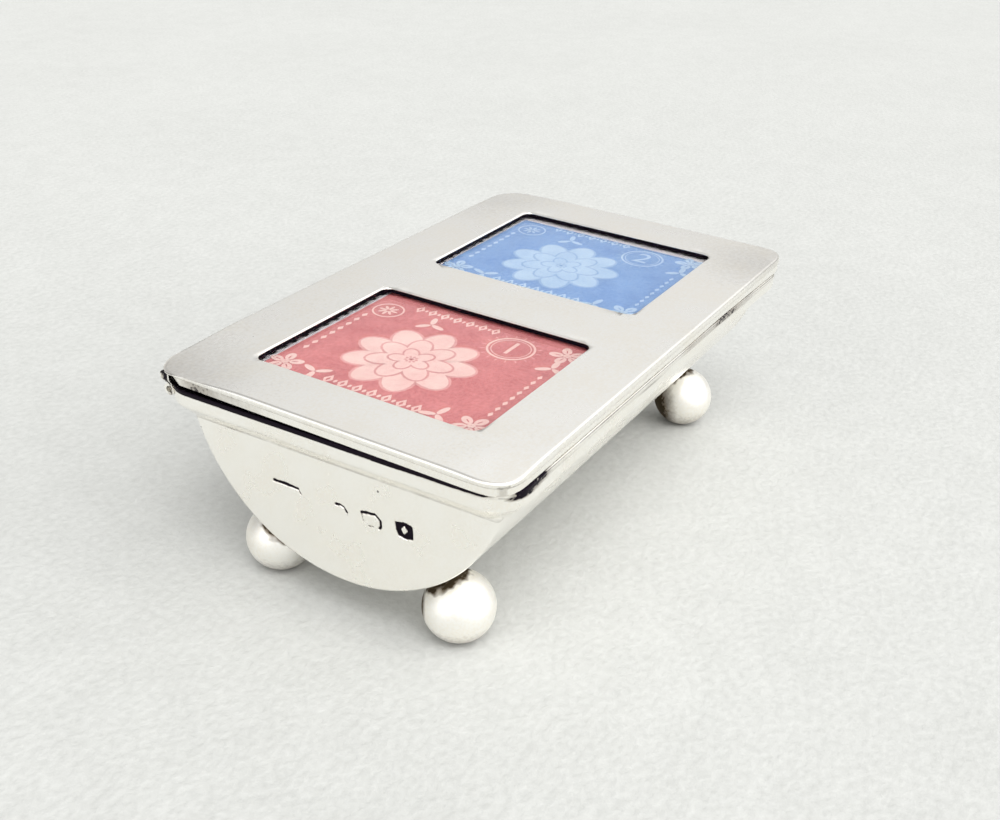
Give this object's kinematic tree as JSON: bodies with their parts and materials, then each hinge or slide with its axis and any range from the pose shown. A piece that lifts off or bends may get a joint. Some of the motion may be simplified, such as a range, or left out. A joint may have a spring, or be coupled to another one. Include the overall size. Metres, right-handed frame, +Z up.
{
  "type": "stamp box",
  "caption": "Small silver box on ball feet with a half-round trough for piles of postage stamps and a hinged lid with glazed windows.",
  "frame": {"origin": "on the table, under the middle of the box", "axes": "+X along the length, +Y towards the hinge at the back, +Z up; the lid opens at the front, -Y"},
  "size_m": [0.0538, 0.0325, 0.0193],
  "materials": {
    "silver": "old polished silver, softly worn, with dark tarnish in the corners",
    "dark_solder": "rough tarnished solder",
    "window_glass": "clear thin glass",
    "red_stamp_paper": "printed paper, red",
    "blue_stamp_paper": "printed paper, blue"
  },
  "bodies": {
    "box": {"trough_shell": "silver", "end_plate_left": "silver", "end_plate_right": "silver", "divider": "silver", "rim_plate": "silver", "rim_moulding": "silver", "foot_front_left": "silver", "foot_front_right": "silver", "foot_back_left": "silver", "foot_back_right": "silver", "foot_solder_front_left": "dark_solder", "foot_solder_front_right": "dark_solder", "foot_solder_back_left": "dark_solder", "foot_solder_back_right": "dark_solder", "box_knuckle_1": "silver", "box_knuckle_2": "silver", "hinge_pin": "silver"},
    "lid": {"lid_plate": "silver", "lid_skirt": "silver", "hinge_leaf": "silver", "lid_knuckle_1": "silver", "lid_knuckle_2": "silver", "lid_knuckle_3": "silver", "glass_left": "window_glass", "glass_right": "window_glass", "stamp_left": "red_stamp_paper", "stamp_right": "blue_stamp_paper", "backing_plate_left": "silver", "backing_plate_right": "silver", "retaining_tabs_left": "silver", "retaining_tabs_right": "silver"}
  },
  "joints": [
    {"name": "lid_hinge", "type": "hinge", "parent": "box", "child": "lid", "pos_m": [0, 0.0155, 0.01685], "axis": [-1, 0, 0], "range_deg": [0, 105]}
  ]
}
